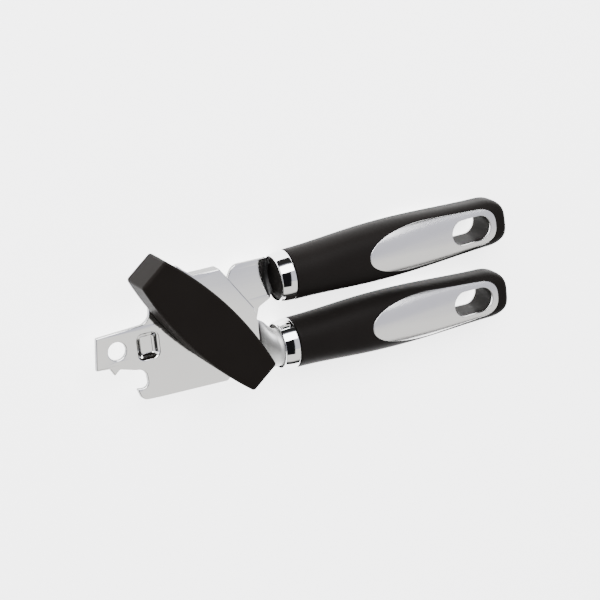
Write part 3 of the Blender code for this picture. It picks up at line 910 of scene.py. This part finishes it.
# %% The rear plate
rear_corners = [
    (24.5, 17.9, 5), (19.8, 9.5, 6), (14.5, -3.0, 8), (6.0, -9.5, 3), (-4.5, -10.0, 5),
    (-8.0, -19.0, 5), (-3.5, -26.0, 6), (14.0, -22.5, 5), (29.0, -20.5, 7),
    (34.0, -12.0, 5), (36.0, -5.0, 3)]
CUTTER = (0.0, -18.0)
rear = make_plate(
    "rear_plate_sheet", rear_corners, [(CUTTER, 4.5), (PIVOT, RIVET_HOLE_R)], REAR_Z,
    tang_rows(UPPER_MOUTH, UPPER_TILT, (-4.0, 9.9, -0.1), 0.4, REAR_Z + PLATE_T / 2, sign=-1,
              bow=2.4))
# The rear plate's channel is darkened fully as painted shade, with more roughness.
mark_dull(rear, 0.75, 1.0, UPPER_MOUTH, -4.0)
finished(rear, STEEL, "polished_steel", "upper_handle", "rear_plate", angle=55)

# %% [markdown]
# ## Knob
# The turning knob is one solid moulding: a bar with bulged sides, cut ends and a
# generous round on its front edge, hollowed only where the spindle enters its back.
# A subdivided box would soften every edge alike. A stack of outlines, each a little
# further in, keeps the sides flat and gives each edge its own round.

# %% The knob
KNOB_TURN = -51.5
KNOB_HALF = (38.8, 8.0, 12.8)
KNOB_Z = (16.0, 35.5)
CORNER = 1.6
FRONT_ROUND = 1.5


def knob_outline(inset, count=60):
    """Bar outline with its edge moved inwards by inset."""
    length, end, middle = KNOB_HALF
    corner = max(0.2, CORNER - inset)
    steps = [1 - 2 * i / count for i in range(count + 1)]
    side = [(length * u, end + (middle - end) * (1 - u * u) - inset) for u in steps]
    side[0] = (length - inset, side[0][1])
    side[-1] = (inset - length, side[-1][1])
    side = [side[0]] + [p for p in side[1:-1] if abs(p[0]) < length - 3.2] + [side[-1]]
    loop = side + [(-x, -y) for x, y in side]
    edge = length - inset - 1e-6
    loop = rounded([(x, y, corner if abs(x) > edge else 0) for x, y in loop], 9)
    turn = Matrix.Rotation(radians(KNOB_TURN), 2)
    return [tuple(turn @ Vector(p)) for p in loop]


low, high = KNOB_Z
rows = [at_height(knob_outline(0.6), low), at_height(knob_outline(0.18), low + 0.18),
        at_height(knob_outline(0), low + 0.6)]
rows += [at_height(knob_outline(FRONT_ROUND * (1 - cos(a))), high - FRONT_ROUND * (1 - sin(a)))
         for a in [pi / 2 * i / 8 for i in range(9)]]
bore = circle((0, 0), 3.8)
bm = bmesh.new()
strip(bm, rows)
cap(bm, rows[-1])
flat_face(bm, [knob_outline(0.6), bore], low)
strip(bm, [at_height(bore, low), at_height(bore, 30.3)])
cap(bm, at_height(bore, 30.3))
knob = new_object("knob_moulding", bm)
finished(knob, KNOB, "knob_black", "drive", "knob", angle=30)

# %% [markdown]
# ## Turned parts
# Rivet, spindle, shaft, bushes and spacers are lathe work. A Screw modifier could turn
# a profile round its axis. Here the profile's (radius, height) points become circles
# joined by quads, which closes the ends too, and small chamfers are part of it.


# %% Lathe work
def turned(name, profile, centre, count=96):
    bm = bmesh.new()
    rows = [at_height(circle(centre, r, count), z) for r, z in profile if r > 0]
    hollow = all(r > 0 for r, z in profile)
    strip(bm, rows + rows[:1] if hollow else rows)
    if not hollow:
        cap(bm, rows[0])
        cap(bm, rows[-1])
    return new_object(name, bm)


def collar(bore, outer, low, high, chamfer=0.25):
    return [(bore, low + 0.15), (bore + 0.15, low), (outer - chamfer, low), (outer, low + chamfer),
            (outer, high - chamfer), (outer - chamfer, high), (bore + 0.15, high),
            (bore, high - 0.15)]


def domed(radius, z, sign, height, count=7):
    """Profile of a rivet's or screw's domed head, from its rim to near its crown."""
    steps = [pi / 2 * i / count for i in range(count)]
    return [(radius * cos(a), z + sign * height * sin(a)) for a in steps]


print("lathe ready")

# %% Rivet, spindle, shaft, bushes and spacers
DRIVE_AXIS = (0.0, 0.0)
HARD_DRIVE = turned_steel("turned_steel_drive", DRIVE_AXIS)
HARD_CUTTER = turned_steel("turned_steel_cutter", (0.0, -0.018))
HARD_PIVOT = turned_steel("turned_steel_pivot", (0.019, -0.013))
BRASS = turned_steel("turned_brass", DRIVE_AXIS, (0.60, 0.44, 0.20, 1), (0.74, 0.58, 0.30, 1))
FACE = FRONT_Z + PLATE_T + GAP
BACK = REAR_Z - GAP
GEAR_Z = (9.2, 11.6)
FEED_Z = (2.9, 6.6)

low_dome = domed(5.0, BACK - 0.3, -1, 0.9)
high_dome = domed(5.0, FACE + 0.3, 1, 0.9)
rivet = low_dome[::-1] + [(5.0, BACK), (3.0, BACK), (3.0, FACE), (5.0, FACE)] + high_dome
rivet = [(0, BACK - 1.2)] + rivet + [(0, FACE + 1.2)]
finished(turned("pivot_rivet_set", rivet, PIVOT), HARD_PIVOT, "hardened_steel", "frame",
         "pivot_rivet")
finished(turned("pivot_washer_ring", collar(3.3, 6.0, *GEAR_Z), PIVOT), BRASS,
         "bearing_brass", "frame", "pivot_washer")
spindle = [(0, 0), (3.9, 0), (4.25, 0.1), (4.4, 0.45), (4.4, 2.4), (4.2, 2.6), (3.5, 2.6),
           (3.5, 29.4), (2.9, 30.0), (0, 30.0)]
finished(turned("drive_spindle_turned", spindle, DRIVE_AXIS), HARD_DRIVE, "hardened_steel",
         "drive", "drive_spindle")
finished(turned("feed_spacer_ring", collar(3.8, 5.2, 6.9, 8.9), DRIVE_AXIS), HARD_DRIVE,
         "hardened_steel", "drive", "feed_spacer")
bush = [(3.8, FRONT_Z), (5.3, FRONT_Z), (5.5, FRONT_Z + 0.2), (5.5, FACE), (8.0, FACE),
        (8.3, FACE + 0.3), (8.3, FACE + 0.7), (8.0, FACE + 1.0), (3.8, FACE + 1.0)]
finished(turned("spindle_bush_turned", bush, DRIVE_AXIS), BRASS, "bearing_brass", "frame",
         "spindle_bush")
shaft = [(0, 0), (4.9, 0), (5.25, 0.1), (5.4, 0.4), (5.4, 0.7), (5.3, 0.8), (2.5, 0.8),
         (2.5, 11.3), (2.2, 11.6), (0, 11.6)]
finished(turned("cutter_shaft_turned", shaft, CUTTER), HARD_CUTTER, "hardened_steel", "cutter",
         "cutter_shaft")
disc = [(2.8, 1.1), (8.7, 1.1), (10.95, 2.25), (11.1, 2.4), (11.1, 2.5), (10.95, 2.6), (2.8, 2.6)]
finished(turned("cutting_wheel_ground", disc, CUTTER, 160), HARD_CUTTER, "hardened_steel",
         "cutter", "cutting_wheel")
finished(turned("cutter_spacer_ring", collar(2.8, 5.0, 2.9, BACK), CUTTER), HARD_CUTTER,
         "hardened_steel", "cutter", "cutter_spacer")
finished(turned("cutter_bush_ring", collar(2.8, 4.2, REAR_Z, REAR_Z + PLATE_T), CUTTER), BRASS,
         "bearing_brass", "upper_handle", "cutter_bush")

# %% [markdown]
# ## Toothed wheels
# The feed wheel and both gears are a plain ring with the same tooth set round it many
# times. That is what Geometry Nodes are for: one tooth, a circle of points, and an
# instance on each point. The ring comes in as the modifier's own geometry.


# %% The tooth tree
def tooth_tree():
    """Geometry Nodes tree that sets teeth round an upright axis."""
    tree = bpy.data.node_groups.new("set_teeth", "GeometryNodeTree")
    face = tree.interface
    face.new_socket("Geometry", in_out="INPUT", socket_type="NodeSocketGeometry")
    face.new_socket("Tooth", in_out="INPUT", socket_type="NodeSocketObject")
    face.new_socket("Teeth", in_out="INPUT", socket_type="NodeSocketInt")
    face.new_socket("Phase", in_out="INPUT", socket_type="NodeSocketFloat")
    face.new_socket("Centre", in_out="INPUT", socket_type="NodeSocketVector")
    face.new_socket("Finish", in_out="INPUT", socket_type="NodeSocketMaterial")
    face.new_socket("Geometry", in_out="OUTPUT", socket_type="NodeSocketGeometry")

    def add(kind, **settings):
        made = tree.nodes.new(kind)
        for key, value in settings.items():
            setattr(made, key, value)
        return made

    def link(source, output, target, socket):
        tree.links.new(source.outputs[output], target.inputs[socket])

    given = add("NodeGroupInput")
    points = add("GeometryNodePoints")
    points.inputs["Radius"].default_value = 0.001
    link(given, "Teeth", points, "Count")
    link(given, "Centre", points, "Position")
    number = add("GeometryNodeInputIndex")
    turn = add("ShaderNodeMath", operation="DIVIDE")
    turn.inputs[0].default_value = 2 * pi
    link(given, "Teeth", turn, 1)
    angle = add("ShaderNodeMath", operation="MULTIPLY_ADD")
    link(number, "Index", angle, 0)
    link(turn, "Value", angle, 1)
    link(given, "Phase", angle, 2)
    spin = add("ShaderNodeCombineXYZ")
    link(angle, "Value", spin, "Z")
    tooth = add("GeometryNodeObjectInfo", transform_space="ORIGINAL")
    link(given, "Tooth", tooth, "Object")
    rotation = add("FunctionNodeEulerToRotation")
    link(spin, "Vector", rotation, "Euler")
    copies = add("GeometryNodeInstanceOnPoints")
    link(points, "Points", copies, "Points")
    link(tooth, "Geometry", copies, "Instance")
    link(rotation, "Rotation", copies, "Rotation")
    both = add("GeometryNodeJoinGeometry")
    link(copies, "Instances", both, "Geometry")
    link(given, "Geometry", both, "Geometry")
    real = add("GeometryNodeRealizeInstances")
    link(both, "Geometry", real, "Geometry")
    paint = add("GeometryNodeSetMaterial")
    link(real, "Geometry", paint, "Geometry")
    link(given, "Finish", paint, "Material")
    result = add("NodeGroupOutput")
    link(paint, "Geometry", result, "Geometry")
    return tree


TOOTH_TREE = tooth_tree()
print("tooth tree has", len(TOOTH_TREE.nodes), "nodes")


# %% Gears and the feed wheel
def one_tooth(name, root, tip, root_half, tip_half, low, high):
    """A single tooth on the +X side, sunk a little into its ring."""
    sunk = root - 0.4
    outline = [(sunk, -root_half), (root, -root_half), (tip - 0.15, -tip_half - 0.05),
               (tip, -tip_half + 0.1), (tip, tip_half - 0.1), (tip - 0.15, tip_half + 0.05),
               (root, root_half), (sunk, root_half)]
    bm = bmesh.new()
    rows = [at_height(outline, z) for z in (low, high)]
    strip(bm, rows)
    cap(bm, rows[0])
    cap(bm, rows[1])
    tooth = new_object(name, bm)
    return soften(tooth, 0.12, 2, 30)


def toothed(name, bore, root, tip, shares, teeth, phase, z, centre, finish, body, node):
    """A ring with its teeth set by the tree, as one plain mesh."""
    pitch = pi / teeth
    tooth = one_tooth("tooth_" + name, root, tip, root * sin(shares[0] * pitch),
                      tip * sin(shares[1] * pitch), *z)
    wheel = turned(name, collar(bore, root + 0.02, *z, 0.12), centre, 96)
    modifier = wheel.modifiers.new("teeth", "NODES")
    modifier.node_group = TOOTH_TREE
    values = {"Tooth": tooth, "Teeth": teeth, "Phase": radians(phase),
              "Centre": (centre[0] * MM, centre[1] * MM, 0.0), "Finish": finish}
    for item in TOOTH_TREE.interface.items_tree:
        if item.in_out == "INPUT" and item.name in values:
            modifier[item.identifier] = values[item.name]
    apply_modifiers(wheel)
    bpy.data.objects.remove(tooth)
    finished(wheel, finish, "hardened_steel", body, node)


toothed("feed_wheel_cut", 3.8, 6.8, 7.5, (0.85, 0.25), 20, 0, FEED_Z, DRIVE_AXIS, HARD_DRIVE,
        "drive", "feed_wheel")
toothed("drive_gear_cut", 3.8, 7.2, 10.3, (0.66, 0.26), 12, 0, GEAR_Z, DRIVE_AXIS, HARD_DRIVE,
        "drive", "drive_gear")
toothed("cutter_gear_cut", 2.8, 7.2, 10.3, (0.66, 0.26), 12, 15, GEAR_Z, CUTTER, HARD_CUTTER,
        "cutter", "cutter_gear")

# %% [markdown]
# ## Stage
# A plain pale floor and large soft lights. Polished steel shows nothing but what is
# round it, so the surroundings matter as much as the lamps. White cards could stand
# round the object, but would show in other views. So the world is the studio: a
# bright dome, warm on one side and cool on the other, over dark low walls, with one
# black card overhead to put contrast in the metal.

# %% Floor and surroundings
floor_mesh = bpy.data.meshes.new("floor")
FLOOR_HALF = 6.0
FLOOR_GLOW = 3.4
SKY_STRENGTH = 1.0
WARM_WALL = (1.36, 1.34, 1.30, 1)
COOL_CEILING = (0.86, 0.86, 0.98, 1)
DARK_WALL = (0.03, 0.03, 0.03, 1)
WALL_TOP = (0.20, 0.38)
WALL_DROP = 0.22
WARM_TO_COOL_Y = (-0.2985, -0.2890)
BLACK_CARD = (0.01, 0.01, 0.012, 1)
CARD_X = ((-0.46, -0.38), (0.20, 0.24))
CARD_Y = ((-0.62, -0.58), (0.42, 0.46))
CARD_Z = (0.5, 0.55)
floor_mesh.from_pydata([(-FLOOR_HALF, -FLOOR_HALF, 0), (FLOOR_HALF, -FLOOR_HALF, 0),
                        (FLOOR_HALF, FLOOR_HALF, 0), (-FLOOR_HALF, FLOOR_HALF, 0)], [],
                       [(0, 1, 2, 3)])
floor = bpy.data.objects.new("floor", floor_mesh)
floor.location.z = -0.0002
bpy.context.scene.collection.objects.link(floor)
floor_finish = Finish("floor_white", **{
    "Base Color": (0.95, 0.95, 0.95, 1), "Roughness": 0.9, "Specular IOR Level": 0.0,
    "Emission Color": (1, 1, 1, 1), "Emission Strength": FLOOR_GLOW})
floor_mesh.materials.append(floor_finish.material)

world = bpy.data.worlds.new("studio")
bpy.context.scene.world = world
world.use_nodes = True
sky = Nodes(world.node_tree)
x, y, z = sky.axes(sky.node("ShaderNodeTexCoord", output=0))
low_wall = sky.rise(z - sky.rise(y, 0.1, 0.4) * WALL_DROP, *WALL_TOP)
ceiling = sky.mix(sky.rise(y, *WARM_TO_COOL_Y), WARM_WALL, COOL_CEILING)
dome = sky.mix(low_wall, DARK_WALL, ceiling)
card = (sky.rise(x, *CARD_X[0]) - sky.rise(x, *CARD_X[1])) * (
    sky.rise(y, *CARD_Y[0]) - sky.rise(y, *CARD_Y[1])) * sky.rise(z, *CARD_Z)
dome = sky.mix(card, dome, BLACK_CARD)
background = world.node_tree.nodes["Background"]
world.node_tree.links.new(dome.socket, background.inputs["Color"])
background.inputs["Strength"].default_value = SKY_STRENGTH
print("stage set")


# %% Lights
def softbox(name, spot, target, size, power):
    light = bpy.data.lights.new(name, "AREA")
    light.shape = "RECTANGLE"
    light.size, light.size_y = size
    light.energy = power
    lamp = bpy.data.objects.new(name, light)
    lamp.location = spot
    aim = Vector(target) - Vector(spot)
    lamp.rotation_euler = aim.to_track_quat("-Z", "Y").to_euler()
    bpy.context.scene.collection.objects.link(lamp)


MIDDLE = (0.06, -0.008, 0.01)
softbox("top_softbox", (0.0, 0.9, 1.1), MIDDLE, (1.4, 0.8), 30)
softbox("left_softbox", (-1.1, 0.5, 0.6), MIDDLE, (0.8, 0.8), 4)

# %% [markdown]
# ## Camera
# The view looks down on the plates from the tab's side, far enough away for the
# handles to stay nearly parallel, and rolled so that they rise to the right. A target
# would aim a camera but not roll it, so its own right and backward axes are given.

# %% Camera
CAMERA_AT = Vector((-0.33682, 0.29766, 0.87348))
TOWARDS_CAMERA = Vector((-0.395, 0.305, 0.86657)).normalized()
CAMERA_RIGHT = Vector((0.89178, -0.09930, 0.44144)).normalized()
LENS_MM = 126.3
lens = bpy.data.cameras.new("camera")
lens.sensor_width = 36.0
lens.lens = LENS_MM
camera = bpy.data.objects.new("camera", lens)
up = TOWARDS_CAMERA.cross(CAMERA_RIGHT)
turn = Matrix((CAMERA_RIGHT, up, TOWARDS_CAMERA)).transposed()
camera.matrix_world = Matrix.Translation(CAMERA_AT) @ turn.to_4x4()
bpy.context.scene.collection.objects.link(camera)
bpy.context.scene.camera = camera
print("lens", round(lens.lens, 1), "mm")

# %% Finish
bpy.context.view_layer.update()
